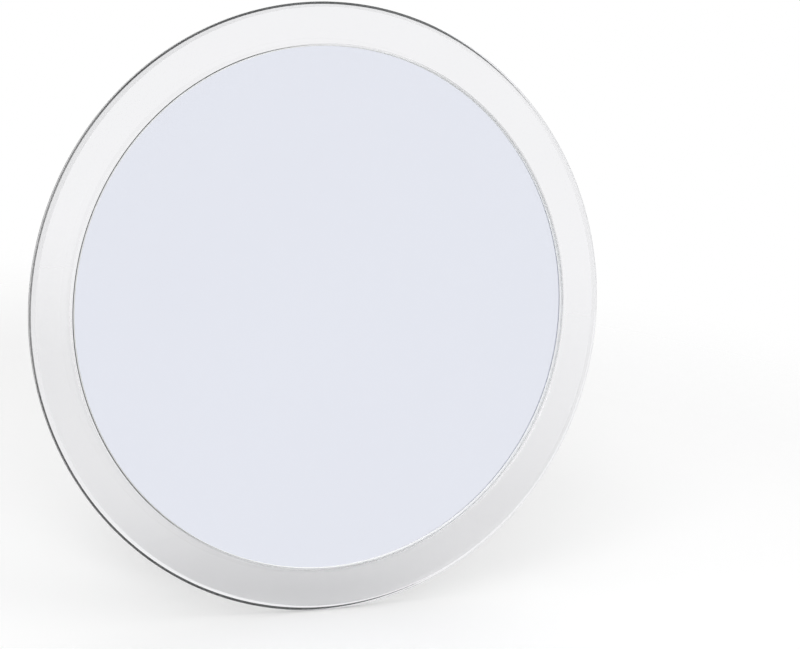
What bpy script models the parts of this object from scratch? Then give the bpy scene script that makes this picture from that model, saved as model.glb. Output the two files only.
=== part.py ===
"""Round makeup mirror with a clear acrylic bezel, held on a wall by three suction cups.

The part's frame: +Z is up, the mirror faces -Y, and the wall is the plane Y = 0. The origin is on the wall,
on the mirror's axis. Turned pieces are drawn as profiles of (radius, height off the wall), turned about
their own axis and laid over so that height runs towards -Y.
"""
import math

import bmesh
import bpy
from mathutils import Matrix, Vector

MM = 0.001

# Driving sizes of the whole mirror: the glass follows from the outer diameter and the band's width
OUTER_DIAMETER = 203.0 * MM
BAND_WIDTH = 13.8 * MM
GLASS_CLEARANCE = 0.3 * MM
GLASS_THICKNESS = 3.0 * MM
GLASS_CURVE_RADIUS = 750.0 * MM
GLASS_SEAM = 0.2 * MM
SEAT_GAP = 0.3 * MM
CUT_OVERRUN = 2.0 * MM
WELD_DISTANCE = 0.01 * MM

# Suction cups: three soft mouldings, each with a mushroom head on a neck
CUP_DIAMETER = 42.0 * MM
CUP_STAND = 12.0 * MM
CUP_HOLLOW_DEPTH = 6.8 * MM
CUP_LIP_THICKNESS = 0.9 * MM
CUP_LIP_WIDTH = 1.4 * MM
CUP_LIP_ROUND = 0.3 * MM
CUP_SHOULDER_DIAMETER = 16.8 * MM
CUP_SHOULDER_HEIGHT = 1.0 * MM
CUP_SHOULDER_ROUND = 0.4 * MM
CUP_SKIRT_POWER = 2.2
NECK_DIAMETER = 6.4 * MM
HEAD_DIAMETER = 12.0 * MM
HEAD_THICKNESS = 2.4 * MM
HEAD_RIM = 0.9 * MM
TAB_WIDTH = 8.0 * MM
TAB_REACH = 6.0 * MM
TAB_THICKNESS = 1.2 * MM
TAB_LIFT = 0.3 * MM
CUP_TO_SCREW = 6.5 * MM
CUP_SEATS = (("suction_cup_top", 90.0), ("suction_cup_left", 210.0), ("suction_cup_right", 330.0))

# Rear cover: a shallow moulded dish with keyhole seats, ribs and screw bosses
COVER_INSET = 5.9 * MM
COVER_FLOOR = 2.0 * MM
COVER_WALL = 2.0 * MM
COVER_FILLET = 2.6 * MM
COVER_DRAFT = 0.5 * MM
SEAT_PAD_RISE = 0.9 * MM
SEAT_PAD_MARGIN = 3.35 * MM
SEAT_PAD_DRAFT = 0.6 * MM
KEYHOLE_MERGE = 0.4 * MM
SLOT_CLEARANCE = 0.3 * MM
MOUTH_CLEARANCE = 0.4 * MM
POCKET_CLEARANCE = 0.6 * MM
GUIDE_WALL = 1.4 * MM
GUIDE_RISE = 3.1 * MM
HEAD_ROOM = 1.8 * MM
RIB_WIDTH = 1.4 * MM
RIB_BELOW_BOSS = 0.2 * MM
PAD_RING_WALL = 1.2 * MM
PAD_RING_SHARE = 0.5

# Screws and the bosses that they join
SCREW_COUNT = 6
SCREW_FIRST_ANGLE = 30.0
SCREW_DIAMETER = 2.6 * MM
SCREW_POINT = 0.9 * MM
SCREW_HEAD_DIAMETER = 5.4 * MM
SCREW_HEAD_HEIGHT = 1.5 * MM
SCREW_CROSS_LENGTH = 2.8 * MM
SCREW_CROSS_WIDTH = 0.7 * MM
SCREW_CROSS_DEPTH = 0.9 * MM
COUNTERBORE_CLEARANCE = 0.5 * MM
COUNTERBORE_DEPTH = 1.9 * MM
SCREW_BOSS_DIAMETER = 8.4 * MM
SCREW_SEAT_THICKNESS = 2.0 * MM
POST_DIAMETER = 6.8 * MM
POST_TO_WALL = 0.6 * MM
PILOT_ROOF = 0.9 * MM
PILOT_TIP_ROOM = 0.4 * MM

# Foam tape and foam pad behind the glass
TAPE_THICKNESS = 0.8 * MM
TAPE_WIDTH = 7.0 * MM
TAPE_INSET = 2.4 * MM

# Clear bezel: the band, the pocket for the glass and the ledge behind it
LIP_PROUD = 0.3 * MM
LIP_ROUND = 0.4 * MM
BAND_SETBACK = 0.95 * MM
EDGE_THICKNESS = 2.9 * MM
EDGE_CHAMFER = 0.7 * MM
BACK_BEVEL_WIDTH = 2.6 * MM
BACK_BEVEL_DEPTH = 1.4 * MM
BACK_SLOPE_INSET = 1.3 * MM
LEDGE_THICKNESS = 1.8 * MM
LEDGE_MARGIN = 0.6 * MM

# Facets round each kind of turned piece, and along its curves
BIG_STEPS = 84
CUP_STEPS = 36
SMALL_STEPS = 16
MOUTH_STEPS = 24
ARC_STEPS = 2
GLASS_RINGS = 4
SKIRT_RINGS = 6
HOLLOW_RINGS = 4

# Radii that follow from the sizes above, from the edge inwards
OUTER_RADIUS = OUTER_DIAMETER / 2
POCKET_RADIUS = OUTER_RADIUS - BAND_WIDTH
GLASS_RADIUS = POCKET_RADIUS - GLASS_CLEARANCE
COVER_RADIUS = GLASS_RADIUS - COVER_INSET
COVER_WALL_INSIDE = COVER_RADIUS - COVER_WALL
SCREW_CIRCLE_RADIUS = COVER_WALL_INSIDE - POST_TO_WALL - POST_DIAMETER / 2
LEDGE_INNER_RADIUS = SCREW_CIRCLE_RADIUS - POST_DIAMETER / 2 - LEDGE_MARGIN
CUP_RADIUS = CUP_DIAMETER / 2
CUP_CIRCLE_RADIUS = SCREW_CIRCLE_RADIUS - CUP_TO_SCREW - CUP_RADIUS

# Radii and lengths of the keyhole seats, which follow the cups' heads and necks
NECK_RADIUS = NECK_DIAMETER / 2
HEAD_RADIUS = HEAD_DIAMETER / 2
SLOT_RADIUS = NECK_RADIUS + SLOT_CLEARANCE
MOUTH_RADIUS = HEAD_RADIUS + MOUTH_CLEARANCE
HEAD_POCKET_RADIUS = HEAD_RADIUS + POCKET_CLEARANCE
GUIDE_RADIUS = HEAD_POCKET_RADIUS + GUIDE_WALL
KEYHOLE_TRAVEL = MOUTH_RADIUS + SLOT_RADIUS - KEYHOLE_MERGE
SEAT_PAD_RADIUS = KEYHOLE_TRAVEL / 2 + MOUTH_RADIUS + SEAT_PAD_MARGIN
PAD_RING_RADIUS = (CUP_CIRCLE_RADIUS - KEYHOLE_TRAVEL - GUIDE_RADIUS) * PAD_RING_SHARE
PAD_RADIUS = PAD_RING_RADIUS - PAD_RING_WALL - SEAT_GAP
SCREW_HOLE_RADIUS = SCREW_DIAMETER / 2 + SEAT_GAP

# Heights off the wall that follow, from the wall to the front
SEAT_FACE = CUP_STAND + SEAT_GAP
COVER_BACK = SEAT_FACE + SEAT_PAD_RISE
COVER_INSIDE = COVER_BACK + COVER_FLOOR
HEAD_SEAT = SEAT_FACE + COVER_FLOOR
HEAD_UNDERSIDE = HEAD_SEAT + SEAT_GAP
HEAD_TOP = HEAD_UNDERSIDE + HEAD_THICKNESS
GLASS_BACK_CENTRE = HEAD_TOP + HEAD_ROOM
SCREW_SEAT = COVER_BACK + COUNTERBORE_DEPTH
SCREW_BOSS_TOP = SCREW_SEAT + SCREW_SEAT_THICKNESS
POST_END = SCREW_BOSS_TOP + SEAT_GAP


def glass_back(radius):
    """Height of the glass's back at a radius: a shallow bowl that bulges towards the wall."""
    return GLASS_BACK_CENTRE + radius * radius / (2 * GLASS_CURVE_RADIUS)


def glass_front(radius):
    """Height of the glass's front, parallel to its back."""
    return glass_back(radius) + GLASS_THICKNESS


def ledge_top(radius):
    """Height of the ledge's front face, which follows the glass with room for the tape."""
    return glass_back(radius) - TAPE_THICKNESS - 2 * SEAT_GAP


def ledge_bottom(radius):
    """Height of the ledge's back face."""
    return ledge_top(radius) - LEDGE_THICKNESS


PILOT_END = ledge_top(SCREW_CIRCLE_RADIUS) - PILOT_ROOF
SCREW_TIP = PILOT_END - PILOT_TIP_ROOM


def steps_between(start, end, count):
    """Evenly spaced values from start to end, both included, in count steps."""
    return [start + (end - start) * index / count for index in range(count + 1)]


def arc(centre_radius, centre_height, size, start_degrees, end_degrees, steps=ARC_STEPS):
    """Points of a round on a profile, turned from one angle to another about its centre."""
    angles = [math.radians(degrees) for degrees in steps_between(start_degrees, end_degrees, steps)]
    return [(centre_radius + size * math.cos(angle), centre_height + size * math.sin(angle))
            for angle in angles]


def make_collection(name):
    """A new collection linked to the scene."""
    collection = bpy.data.collections.new(name)
    bpy.context.scene.collection.children.link(collection)
    return collection


def make_material(name, colour, roughness, metallic=0.0, transmission=0.0):
    """A plain surface with one Principled shader."""
    material = bpy.data.materials.new(name)
    material.use_nodes = True
    shader = material.node_tree.nodes["Principled BSDF"]
    shader.inputs["Base Color"].default_value = (*colour, 1.0)
    shader.inputs["Roughness"].default_value = roughness
    shader.inputs["Metallic"].default_value = metallic
    shader.inputs["Transmission Weight"].default_value = transmission
    material.diffuse_color = (*colour, 1.0)
    return material


def add_object(name, mesh, collection, material=None):
    """An object that is laid over, so that its local Z points to the front of the mirror."""
    part = bpy.data.objects.new(name, mesh)
    part.rotation_euler = (math.radians(90), 0, 0)
    collection.objects.link(part)
    if material:
        part.data.materials.append(material)
    return part


def hide_helper(helper):
    """Marks a cutter or a shape that is joined to another, which is no piece by itself."""
    helper.hide_render = True
    helper.display_type = "WIRE"
    return helper


def profile_mesh(name, profile, closed):
    """A mesh of one outline in the local XZ plane: a loop for a ring, or a run from axis to axis."""
    mesh = bpy.data.meshes.new(name)
    vertices = [(radius, 0, height) for radius, height in profile]
    corners = list(range(len(profile)))
    edges = list(zip(corners[:-1], corners[1:]))
    if closed:
        edges.append((corners[-1], corners[0]))
    mesh.from_pydata(vertices, edges, [])
    return mesh


def turned(name, profile, steps, collection, material=None, closed=False):
    """A piece turned about its own axis from a profile that runs down its outer side."""
    part = add_object(name, profile_mesh(name, profile, closed), collection, material)
    screw = part.modifiers.new("turn", "SCREW")
    screw.steps = steps
    screw.render_steps = steps
    screw.use_merge_vertices = True
    screw.merge_threshold = WELD_DISTANCE
    screw.use_smooth_shade = True
    return part


def boolean(part, helper, operation):
    """Cuts a helper from a piece or joins it to the piece."""
    modifier = part.modifiers.new(operation.lower() + "_" + helper.name, "BOOLEAN")
    modifier.operation = operation
    modifier.solver = "EXACT"
    modifier.object = helper
    hide_helper(helper)


def bmesh_object(name, build, collection, material=None):
    """An object whose mesh a function fills in."""
    mesh = bpy.data.meshes.new(name)
    shape = bmesh.new()
    build(shape)
    shape.to_mesh(mesh)
    shape.free()
    return add_object(name, mesh, collection, material)


def add_cylinder(shape, centre, radius_low, radius_high, low, high, steps=SMALL_STEPS):
    """A cylinder or a cone between two heights, at a place (right, up) on the mirror's back."""
    place = Matrix.Translation(Vector((centre[0], centre[1], (low + high) / 2)))
    bmesh.ops.create_cone(shape, cap_ends=True, segments=steps, radius1=radius_low,
                          radius2=radius_high, depth=high - low, matrix=place)


def add_bar(shape, start, end, angle_degrees, width, low, high):
    """A straight bar along a radius of the mirror, between two radii and two heights."""
    turn = Matrix.Rotation(math.radians(angle_degrees), 4, "Z")
    place = Matrix.Translation(Vector(((start + end) / 2, 0, (low + high) / 2)))
    size = Matrix.Diagonal((end - start, width, high - low, 1))
    bmesh.ops.create_cube(shape, size=1, matrix=turn @ place @ size)


def add_prism(shape, outline, low, high):
    """A flat outline of (right, up) points, drawn out between two heights."""
    floor = [shape.verts.new((right, up, low)) for right, up in outline]
    grown = bmesh.ops.extrude_face_region(shape, geom=[shape.faces.new(floor)])
    moved = [item for item in grown["geom"] if isinstance(item, bmesh.types.BMVert)]
    bmesh.ops.translate(shape, verts=moved, vec=(0, 0, high - low))
    bmesh.ops.recalc_face_normals(shape, faces=shape.faces)


def add_slot(shape, centre, radius, travel, low, high):
    """A round-ended block that follows the keyhole: its upper round end is at the centre."""
    half = SMALL_STEPS // 2
    outline = arc(centre[0], centre[1], radius, 0, 180, half)
    outline += arc(centre[0], centre[1] - travel, radius, 180, 360, half)
    add_prism(shape, outline, low, high)


def on_circle(radius, angle_degrees):
    """A place (right, up) on a circle round the mirror's axis."""
    angle = math.radians(angle_degrees)
    return (radius * math.cos(angle), radius * math.sin(angle))


def screw_angles():
    """Where the screws stand round the cover."""
    return [SCREW_FIRST_ANGLE + 360.0 * index / SCREW_COUNT for index in range(SCREW_COUNT)]


def bezel_profile():
    """The band's sloping front, its edge, its bevelled back, then the ledge and the pocket for the glass."""
    lip_height = glass_front(GLASS_RADIUS) + LIP_PROUD
    edge_front = lip_height - BAND_SETBACK
    edge_back = edge_front - EDGE_THICKNESS
    ledge_radii = steps_between(POCKET_RADIUS - BACK_SLOPE_INSET, LEDGE_INNER_RADIUS, ARC_STEPS)
    profile = arc(POCKET_RADIUS + LIP_ROUND, lip_height - LIP_ROUND, LIP_ROUND, 180, 90)
    profile += [(OUTER_RADIUS - EDGE_CHAMFER, edge_front), (OUTER_RADIUS, edge_front - EDGE_CHAMFER)]
    profile += [(OUTER_RADIUS, edge_back)]
    profile += [(OUTER_RADIUS - BACK_BEVEL_WIDTH, edge_back - BACK_BEVEL_DEPTH)]
    profile += [(radius, ledge_bottom(radius)) for radius in ledge_radii]
    profile += [(LEDGE_INNER_RADIUS, ledge_top(LEDGE_INNER_RADIUS))]
    profile += [(POCKET_RADIUS, ledge_top(POCKET_RADIUS))]
    return profile


def make_clear_bezel(pieces, helpers, material):
    """Clear acrylic ring: turned in one profile, with six blind screw posts on its back."""
    bezel = turned("clear_bezel", bezel_profile(), BIG_STEPS, pieces, material, closed=True)
    post_root = ledge_bottom(SCREW_CIRCLE_RADIUS) + LEDGE_THICKNESS / 2

    def build_posts(shape):
        for angle in screw_angles():
            place = on_circle(SCREW_CIRCLE_RADIUS, angle)
            add_cylinder(shape, place, POST_DIAMETER / 2, POST_DIAMETER / 2, POST_END, post_root)

    def build_pilots(shape):
        for angle in screw_angles():
            place = on_circle(SCREW_CIRCLE_RADIUS, angle)
            add_cylinder(shape, place, SCREW_HOLE_RADIUS, SCREW_HOLE_RADIUS,
                         POST_END - CUT_OVERRUN, PILOT_END)

    boolean(bezel, bmesh_object("bezel_posts", build_posts, helpers), "UNION")
    boolean(bezel, bmesh_object("bezel_pilots", build_pilots, helpers), "DIFFERENCE")
    return bezel


def make_mirror_glass(pieces, material):
    """Round glass, bowed to magnify: hollow in front, silvered on its back, its edge ground."""
    radii = steps_between(0, GLASS_RADIUS - GLASS_SEAM, GLASS_RINGS)
    profile = [(radius, glass_front(radius)) for radius in radii]
    profile += [(GLASS_RADIUS, glass_front(GLASS_RADIUS) - GLASS_SEAM)]
    profile += [(GLASS_RADIUS, glass_back(GLASS_RADIUS) + GLASS_SEAM)]
    profile += [(radius, glass_back(radius)) for radius in reversed(radii)]
    return turned("mirror_glass", profile, BIG_STEPS, pieces, material)


def make_glass_tape(pieces, material):
    """Foam tape laid as a ring on the ledge, under the glass's margin."""
    outer = GLASS_RADIUS - TAPE_INSET
    inner = outer - TAPE_WIDTH
    profile = [(inner, glass_back(inner) - SEAT_GAP), (outer, glass_back(outer) - SEAT_GAP)]
    profile += [(radius, height - TAPE_THICKNESS) for radius, height in reversed(profile)]
    return turned("glass_tape", profile, BIG_STEPS, pieces, material, closed=True)


def make_centre_pad(pieces, material):
    """Foam disc that backs the middle of the glass."""
    top = GLASS_BACK_CENTRE - SEAT_GAP
    bottom = COVER_INSIDE + SEAT_GAP
    profile = [(0, top), (PAD_RADIUS, top), (PAD_RADIUS, bottom), (0, bottom)]
    return turned("centre_pad", profile, CUP_STEPS, pieces, material)


def cover_profile():
    """The cover's dish: its floor's inside, its wall up to the ledge, and its rounded outside."""
    rim = ledge_bottom(COVER_WALL_INSIDE) - SEAT_GAP
    back_radius = COVER_RADIUS - COVER_DRAFT
    fillet_radius = back_radius - COVER_FILLET
    inner_fillet = COVER_FILLET - COVER_WALL / 2
    inner_foot = COVER_WALL_INSIDE - COVER_DRAFT
    profile = [(0, COVER_INSIDE), (inner_foot - inner_fillet, COVER_INSIDE)]
    profile += [(inner_foot, COVER_INSIDE + inner_fillet), (COVER_WALL_INSIDE, rim)]
    profile += [(COVER_RADIUS, rim)]
    profile += arc(fillet_radius, COVER_BACK + COVER_FILLET, COVER_FILLET, 0, -90)
    profile += [(0, COVER_BACK)]
    return profile


def make_rear_cover(pieces, helpers, material):
    """Moulded cover: a dish with keyhole seats, head guides, ribs and counterbored bosses."""
    cover = turned("rear_cover", cover_profile(), BIG_STEPS, pieces, material)
    seats = [on_circle(CUP_CIRCLE_RADIUS, angle) for _, angle in CUP_SEATS]
    screws = [on_circle(SCREW_CIRCLE_RADIUS, angle) for angle in screw_angles()]
    root = COVER_BACK + COVER_FLOOR / 2
    guide_top = HEAD_SEAT + GUIDE_RISE
    boss_radius = SCREW_BOSS_DIAMETER / 2
    bore_radius = SCREW_HEAD_DIAMETER / 2 + COUNTERBORE_CLEARANCE

    def build_seat_pads(shape):
        for right, up in seats:
            add_cylinder(shape, (right, up - KEYHOLE_TRAVEL / 2), SEAT_PAD_RADIUS - SEAT_PAD_DRAFT,
                         SEAT_PAD_RADIUS, SEAT_FACE, root, CUP_STEPS)

    def build_guides(shape):
        for seat in seats:
            add_slot(shape, seat, GUIDE_RADIUS, KEYHOLE_TRAVEL, root, guide_top)

    def build_bosses(shape):
        for screw in screws:
            add_cylinder(shape, screw, boss_radius, boss_radius, root, SCREW_BOSS_TOP)

    def build_ribs(shape):
        rib_top = SCREW_BOSS_TOP - RIB_BELOW_BOSS
        for angle in screw_angles()[::2]:
            add_bar(shape, PAD_RING_RADIUS - PAD_RING_WALL / 2, SCREW_CIRCLE_RADIUS - boss_radius / 2,
                    angle, RIB_WIDTH, root, rib_top)
        for _, angle in CUP_SEATS:
            add_bar(shape, CUP_CIRCLE_RADIUS + GUIDE_RADIUS - GUIDE_WALL,
                    SCREW_CIRCLE_RADIUS - boss_radius / 2, angle, RIB_WIDTH, root, rib_top)

    def build_head_pockets(shape):
        for seat in seats:
            add_slot(shape, seat, HEAD_POCKET_RADIUS, KEYHOLE_TRAVEL, HEAD_SEAT,
                     guide_top + CUT_OVERRUN)

    def build_slots(shape):
        for seat in seats:
            add_slot(shape, seat, SLOT_RADIUS, KEYHOLE_TRAVEL, SEAT_FACE - CUT_OVERRUN,
                     HEAD_SEAT + CUT_OVERRUN)

    def build_mouths(shape):
        for right, up in seats:
            add_cylinder(shape, (right, up - KEYHOLE_TRAVEL), MOUTH_RADIUS, MOUTH_RADIUS,
                         SEAT_FACE - CUT_OVERRUN, HEAD_SEAT + CUT_OVERRUN, MOUTH_STEPS)

    def build_screw_holes(shape):
        for screw in screws:
            add_cylinder(shape, screw, SCREW_HOLE_RADIUS, SCREW_HOLE_RADIUS,
                         COVER_BACK - CUT_OVERRUN, SCREW_BOSS_TOP + CUT_OVERRUN)

    def build_counterbores(shape):
        for screw in screws:
            add_cylinder(shape, screw, bore_radius, bore_radius, COVER_BACK - CUT_OVERRUN,
                         SCREW_SEAT)

    ring_top = SCREW_BOSS_TOP - 2 * RIB_BELOW_BOSS
    ring = [(PAD_RING_RADIUS - PAD_RING_WALL, ring_top), (PAD_RING_RADIUS, ring_top)]
    ring += [(PAD_RING_RADIUS, root), (PAD_RING_RADIUS - PAD_RING_WALL, root)]
    boolean(cover, turned("cover_pad_ring", ring, CUP_STEPS, helpers, closed=True), "UNION")
    for name, build, operation in (
            ("cover_seat_pads", build_seat_pads, "UNION"),
            ("cover_guides", build_guides, "UNION"),
            ("cover_bosses", build_bosses, "UNION"),
            ("cover_ribs", build_ribs, "UNION"),
            ("cover_head_pockets", build_head_pockets, "DIFFERENCE"),
            ("cover_slots", build_slots, "DIFFERENCE"),
            ("cover_mouths", build_mouths, "DIFFERENCE"),
            ("cover_counterbores", build_counterbores, "DIFFERENCE"),
            ("cover_screw_holes", build_screw_holes, "DIFFERENCE")):
        boolean(cover, bmesh_object(name, build, helpers), operation)
    return cover


def screw_profile():
    """A pan-head screw seen from its point: point, shank, then the head against the wall side."""
    head_top = SCREW_SEAT - SEAT_GAP
    head_bottom = head_top - SCREW_HEAD_HEIGHT
    head_radius = SCREW_HEAD_DIAMETER / 2
    dome = SCREW_HEAD_HEIGHT / 2
    profile = [(0, SCREW_TIP), (SCREW_DIAMETER / 2, SCREW_TIP - SCREW_POINT)]
    profile += [(SCREW_DIAMETER / 2, head_top), (head_radius, head_top)]
    profile += arc(head_radius - dome, head_bottom + dome, dome, 0, -90)
    profile += [(0, head_bottom)]
    return profile


def make_cover_screws(pieces, helpers, material):
    """Six self-tapping screws with a cross recess, put in from the wall side."""
    head_bottom = SCREW_SEAT - SEAT_GAP - SCREW_HEAD_HEIGHT
    screws = []
    for number, angle in enumerate(screw_angles(), start=1):
        right, up = on_circle(SCREW_CIRCLE_RADIUS, angle)

        def build_cross(shape):
            for turn in (0, 90):
                add_bar(shape, -SCREW_CROSS_LENGTH / 2, SCREW_CROSS_LENGTH / 2, turn + angle,
                        SCREW_CROSS_WIDTH, head_bottom - CUT_OVERRUN,
                        head_bottom + SCREW_CROSS_DEPTH)

        screw = turned(f"cover_screw_{number}", screw_profile(), SMALL_STEPS, pieces, material)
        cross = bmesh_object(f"screw_cross_{number}", build_cross, helpers)
        for shape in (screw, cross):
            shape.location = (right, 0, up)
        boolean(screw, cross, "DIFFERENCE")
        screw.modifiers[-1].use_self = True
        screws.append(screw)
    return screws


def hollow_height(radius):
    """Height of the cup's hollow over the wall at a radius: a shallow dome inside the lip."""
    share = radius / (CUP_RADIUS - CUP_LIP_WIDTH)
    return CUP_HOLLOW_DEPTH * (1 - share * share)


def skirt_height(radius):
    """Height of the skirt's outside: the hollow plus a wall that thickens from lip to core."""
    core_radius = CUP_SHOULDER_DIAMETER / 2
    core_height = CUP_STAND - CUP_SHOULDER_HEIGHT
    core_wall = core_height - hollow_height(core_radius)
    share = (CUP_RADIUS - radius) / (CUP_RADIUS - core_radius)
    wall = CUP_LIP_THICKNESS + (core_wall - CUP_LIP_THICKNESS) * share ** CUP_SKIRT_POWER
    return max(hollow_height(radius), 0) + wall


def cup_profile():
    """A cup from the top of its mushroom head, down its skirt to the lip, and up its hollow."""
    shoulder_radius = CUP_SHOULDER_DIAMETER / 2
    lip_inner = CUP_RADIUS - CUP_LIP_WIDTH
    head_centre = HEAD_RADIUS - HEAD_THICKNESS + HEAD_RIM
    profile = [(0, HEAD_TOP)]
    profile += arc(head_centre, HEAD_UNDERSIDE + HEAD_RIM, HEAD_THICKNESS - HEAD_RIM, 90, 0)
    profile += [(HEAD_RADIUS - HEAD_RIM / 3, HEAD_UNDERSIDE), (NECK_RADIUS, HEAD_UNDERSIDE)]
    profile += [(NECK_RADIUS, CUP_STAND)]
    profile += arc(shoulder_radius - CUP_SHOULDER_ROUND, CUP_STAND - CUP_SHOULDER_ROUND,
                   CUP_SHOULDER_ROUND, 90, 0, 2)
    skirt_radii = steps_between(shoulder_radius, CUP_RADIUS - CUP_LIP_ROUND, SKIRT_RINGS)
    profile += [(radius, skirt_height(radius)) for radius in skirt_radii]
    profile += [(CUP_RADIUS, CUP_LIP_THICKNESS / 2), (CUP_RADIUS - CUP_LIP_ROUND, 0)]
    profile += [(radius, hollow_height(radius)) for radius in steps_between(lip_inner, 0, HOLLOW_RINGS)]
    return profile


def make_suction_cups(pieces, helpers, material):
    """Three cups, each with its origin on its own axis at the wall and a tab that points outwards."""
    start = CUP_RADIUS - CUP_LIP_WIDTH / 2
    end = CUP_RADIUS + TAB_REACH - TAB_WIDTH / 2
    outline = [(start, TAB_WIDTH / 2), (start, -TAB_WIDTH / 2)]
    outline += arc(end, 0, TAB_WIDTH / 2, -90, 90, SMALL_STEPS // 2)

    def build_tab(shape):
        add_prism(shape, outline, TAB_LIFT, TAB_LIFT + TAB_THICKNESS)

    cups = []
    for name, angle in CUP_SEATS:
        right, up = on_circle(CUP_CIRCLE_RADIUS, angle)
        cup = turned(name, cup_profile(), CUP_STEPS, pieces, material)
        tab = bmesh_object(name + "_tab", build_tab, helpers)
        boolean(cup, tab, "UNION")
        for shape in (cup, tab):
            shape.location = (right, 0, up)
            shape.rotation_euler = (math.radians(90), math.radians(-angle), 0)
        cups.append(cup)
    return cups


for old_object in list(bpy.data.objects):
    bpy.data.objects.remove(old_object, do_unlink=True)

mirror_pieces = make_collection("suction_cup_mirror")
helper_shapes = make_collection("helper_shapes")

clear_acrylic = make_material("clear_acrylic", (0.95, 0.96, 0.97), 0.03, transmission=1.0)
silvered_glass = make_material("silvered_glass", (0.77, 0.79, 0.87), 0.02, metallic=1.0)
white_foam = make_material("white_foam", (0.86, 0.86, 0.85), 0.9)
white_plastic = make_material("white_plastic", (0.84, 0.85, 0.86), 0.35)
zinc_plate = make_material("zinc_plate", (0.62, 0.63, 0.65), 0.3, metallic=1.0)
clear_vinyl = make_material("clear_vinyl", (0.88, 0.91, 0.93), 0.12, transmission=0.9)

make_clear_bezel(mirror_pieces, helper_shapes, clear_acrylic)
make_mirror_glass(mirror_pieces, silvered_glass)
make_glass_tape(mirror_pieces, white_foam)
make_centre_pad(mirror_pieces, white_foam)
make_rear_cover(mirror_pieces, helper_shapes, white_plastic)
make_cover_screws(mirror_pieces, helper_shapes, zinc_plate)
make_suction_cups(mirror_pieces, helper_shapes, clear_vinyl)
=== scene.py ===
"""Looks of a round magnifying mirror in a clear acrylic bezel, which leans back on a white studio floor.

Heights are counted off the wall, along -Y. A turned piece is an outline of (radius, height), carried round
the mirror's axis or round an axis of its own that is parallel to it.
"""
import math

import bmesh
import bpy
import numpy as np
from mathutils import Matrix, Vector


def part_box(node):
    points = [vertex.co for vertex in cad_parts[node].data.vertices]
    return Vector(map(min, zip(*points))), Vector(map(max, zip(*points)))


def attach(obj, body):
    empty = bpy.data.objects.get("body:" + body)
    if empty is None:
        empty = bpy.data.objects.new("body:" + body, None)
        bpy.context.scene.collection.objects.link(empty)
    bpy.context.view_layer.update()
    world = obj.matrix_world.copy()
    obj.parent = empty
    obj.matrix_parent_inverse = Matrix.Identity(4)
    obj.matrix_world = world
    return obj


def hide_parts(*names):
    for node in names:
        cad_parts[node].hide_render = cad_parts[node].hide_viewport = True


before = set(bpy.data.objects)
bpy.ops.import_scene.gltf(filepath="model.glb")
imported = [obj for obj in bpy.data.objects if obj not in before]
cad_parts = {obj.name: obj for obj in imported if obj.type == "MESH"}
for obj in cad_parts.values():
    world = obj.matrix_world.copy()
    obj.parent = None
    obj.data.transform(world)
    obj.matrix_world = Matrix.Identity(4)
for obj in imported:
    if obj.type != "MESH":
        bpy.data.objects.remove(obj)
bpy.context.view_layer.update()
MM = 0.001


# Clear bezel: one moulded acrylic ring with a polished band, a chamfered edge, a ledge behind the pocket for
# the glass and six blind posts that take the cover's screws. It's clear, so it shows what stands behind it.
bezel_low, bezel_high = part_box("clear_bezel")
OUTER_RADIUS = bezel_high.x
LIP_HEIGHT = -bezel_low.y
POST_END = -bezel_high.y
BAND_WIDTH = 13.8 * MM
BAND_SETBACK = 0.95 * MM
EDGE_THICKNESS = 2.9 * MM
EDGE_CHAMFER = 1.7 * MM
BACK_BEVEL_WIDTH = 1.8 * MM
BACK_BEVEL_DEPTH = 1.1 * MM
BACK_SLOPE_INSET = 1.3 * MM
POLISHED_ROUND = 0.03 * MM
LIP_ROUND = 0.65 * MM
LEDGE_ROUND = 0.2 * MM
LEDGE_THICKNESS = 1.8 * MM
LEDGE_INNER_RADIUS = 71.5 * MM
LEDGE_BELOW_GLASS = 1.4 * MM
LEDGE_RINGS = 8
POST_RADIUS = 3.4 * MM
POST_CHAMFER = 0.3 * MM
PILOT_RADIUS = 1.6 * MM
PILOT_ROOF = 0.9 * MM
SCREW_CIRCLE_RADIUS = 75.5 * MM
SCREW_ANGLES = np.radians(30.0 + 60.0 * np.arange(6))
BEZEL_STEPS = 512
POST_STEPS = 48
CUT_OVERRUN = 1.0 * MM
POCKET_RADIUS = OUTER_RADIUS - BAND_WIDTH

# The glass's place is named here, because the ledge follows its bowl
glass_low, glass_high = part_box("mirror_glass")
GLASS_RADIUS = glass_high.x
GLASS_THICKNESS = 3.0 * MM
GLASS_BACK_CENTRE = -glass_high.y
GLASS_SAG = -glass_low.y - GLASS_THICKNESS - GLASS_BACK_CENTRE

# How finely corners are rounded, where shading splits, and how close two points are to be one
ROUND_STEPS = 4
ROUND_SHOULDER = 0.03 * MM
SHARP_ANGLE = math.radians(35.0)
MERGE_DISTANCE = 1e-7
NEARLY_NOTHING = 1e-9


def glass_back(radius):
    """Height of the glass's back: its centre's height plus the sag times the squared share of the radius."""
    return GLASS_BACK_CENTRE + GLASS_SAG * (radius / GLASS_RADIUS) ** 2


def ledge_top(radius):
    """Height of the ledge's front: the glass's back less the room for the tape."""
    return glass_back(radius) - LEDGE_BELOW_GLASS


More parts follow.
